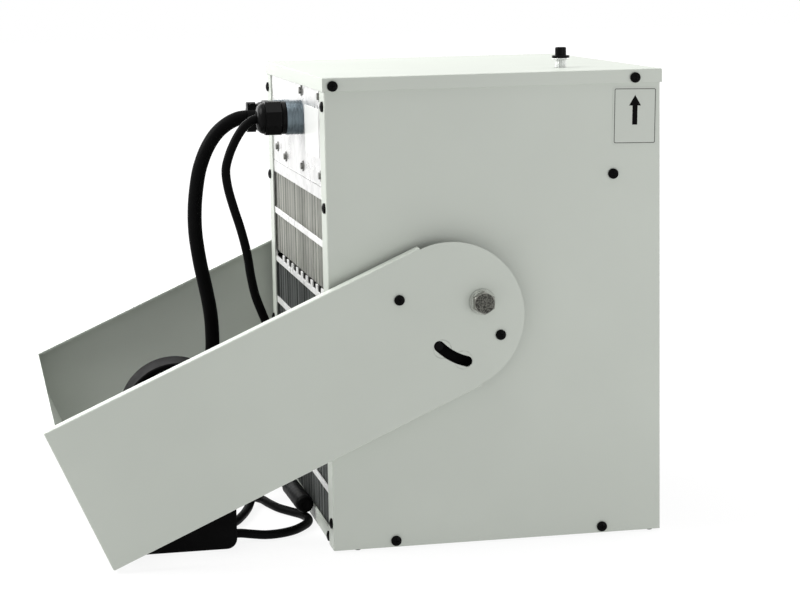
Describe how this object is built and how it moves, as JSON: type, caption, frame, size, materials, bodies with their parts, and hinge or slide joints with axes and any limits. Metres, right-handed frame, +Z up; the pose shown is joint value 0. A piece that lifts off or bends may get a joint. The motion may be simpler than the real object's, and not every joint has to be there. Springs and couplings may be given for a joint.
{
  "type": "industrial fan heater",
  "caption": "Industrial fan heater: sheet-steel casing with a finned rear intake and louvred outlet, on a tilting wall bracket, with two cable glands, a reset button and a wired control unit.",
  "frame": {"origin": "on the floor plane of the feet, below the middle of the casing", "axes": "+Z up, -Y is the direction of the warm air (outlet), +Y the rear with the intake, the glands and the wall side of the bracket, X across"},
  "size_m": [0.4296, 0.5904, 0.4675],
  "materials": {
    "painted_steel": "light warm grey powder coat, fine texture",
    "galvanised_steel": "galvanised sheet, dull spangle",
    "fin_aluminium": "mill finish",
    "vane_aluminium": "satin",
    "motor_paint": "black enamel",
    "bright_steel": "zinc plated",
    "element_tube": "heat-tinted stainless tube",
    "switchgear": "dark grey moulding",
    "terminal_plastic": "pale moulding",
    "board": "circuit board",
    "gland_zinc": "zinc, turned",
    "black_plastic": "fine texture",
    "black_screw": "blackened",
    "black_rubber": "matt",
    "label_film": "printed film"
  },
  "bodies": {
    "heater": {"base_pan": "painted_steel", "side_panel_left": "painted_steel", "side_panel_right": "painted_steel", "top_lid": "painted_steel", "front_panel": "painted_steel", "rear_plate": "galvanised_steel", "divider_shelf": "galvanised_steel", "mid_rail": "painted_steel", "fin_bars": "painted_steel", "fins_upper": "fin_aluminium", "fins_lower": "fin_aluminium", "vane_carrier_left": "galvanised_steel", "vane_carrier_right": "galvanised_steel", "fan_shroud": "galvanised_steel", "motor_strap": "galvanised_steel", "fan_motor": "motor_paint", "motor_bearings": "bright_steel", "heating_elements": "element_tube", "element_support": "galvanised_steel", "mounting_rail": "galvanised_steel", "terminal_block": "terminal_plastic", "contactors": "switchgear", "cutout_bracket": "galvanised_steel", "cutout_body": "switchgear", "reset_neck": "gland_zinc", "reset_collar": "black_plastic", "gland_sleeves": "gland_zinc", "control_gland": "black_plastic", "power_gland": "black_plastic", "gland_clamp": "black_plastic", "power_cord": "black_rubber", "cord_end_cap": "black_rubber", "control_cord": "black_rubber", "control_front_shell": "black_plastic", "control_back_shell": "black_plastic", "control_board": "board", "control_screws": "bright_steel", "cord_grommet": "black_rubber", "pivot_bolts": "bright_steel", "pivot_washers": "bright_steel", "pivot_plates": "galvanised_steel", "stop_studs": "black_screw", "casing_screws": "black_screw", "star_screws": "bright_steel", "base_feet": "black_rubber", "label_plates": "label_film"},
    "bracket": {"tilt_bracket": "painted_steel", "pivot_pads": "black_plastic", "pad_screws": "black_screw"},
    "fan": {"motor_shaft": "bright_steel", "fan_rotor": "motor_paint"},
    "reset": {"reset_button": "black_plastic"},
    "dial": {"thermostat_knob": "black_plastic"},
    "selector": {"selector_knob": "black_plastic"},
    "louvre_1": {"vane_1": "vane_aluminium"},
    "louvre_2": {"vane_2": "vane_aluminium"},
    "louvre_3": {"vane_3": "vane_aluminium"},
    "louvre_4": {"vane_4": "vane_aluminium"},
    "louvre_5": {"vane_5": "vane_aluminium"},
    "louvre_6": {"vane_6": "vane_aluminium"}
  },
  "joints": [
    {"name": "bracket_tilt", "type": "hinge", "parent": "heater", "child": "bracket", "pos_m": [0, 0.0185, 0.2365], "axis": [1, 0, 0], "range_deg": [0, 30.7]},
    {"name": "fan_spin", "type": "hinge", "parent": "heater", "child": "fan", "pos_m": [0, 0.07, 0.1735], "axis": [0, -1, 0], "continuous": true},
    {"name": "reset_press", "type": "slide", "parent": "heater", "child": "reset", "axis": [0, 0, -1], "range_m": [0, 0.002], "stiffness_N_per_m": 400, "springref_m": -0.004},
    {"name": "thermostat_turn", "type": "hinge", "parent": "heater", "child": "dial", "pos_m": [-0.1455, 0.3, 0.118], "axis": [-1, 0, 0], "range_deg": [-135, 135]},
    {"name": "selector_turn", "type": "hinge", "parent": "heater", "child": "selector", "pos_m": [-0.1455, 0.3, 0.056], "axis": [-1, 0, 0], "range_deg": [-90, 90]},
    {"name": "louvre_1_tilt", "type": "hinge", "parent": "heater", "child": "louvre_1", "pos_m": [0, -0.133, 0.03183], "axis": [1, 0, 0], "range_deg": [-40, 40]},
    {"name": "louvre_2_tilt", "type": "hinge", "parent": "heater", "child": "louvre_2", "pos_m": [0, -0.133, 0.0885], "axis": [1, 0, 0], "range_deg": [-40, 40]},
    {"name": "louvre_3_tilt", "type": "hinge", "parent": "heater", "child": "louvre_3", "pos_m": [0, -0.133, 0.14517], "axis": [1, 0, 0], "range_deg": [-40, 40]},
    {"name": "louvre_4_tilt", "type": "hinge", "parent": "heater", "child": "louvre_4", "pos_m": [0, -0.133, 0.20183], "axis": [1, 0, 0], "range_deg": [-40, 40]},
    {"name": "louvre_5_tilt", "type": "hinge", "parent": "heater", "child": "louvre_5", "pos_m": [0, -0.133, 0.2585], "axis": [1, 0, 0], "range_deg": [-40, 40]},
    {"name": "louvre_6_tilt", "type": "hinge", "parent": "heater", "child": "louvre_6", "pos_m": [0, -0.133, 0.31517], "axis": [1, 0, 0], "range_deg": [-40, 40]}
  ]
}
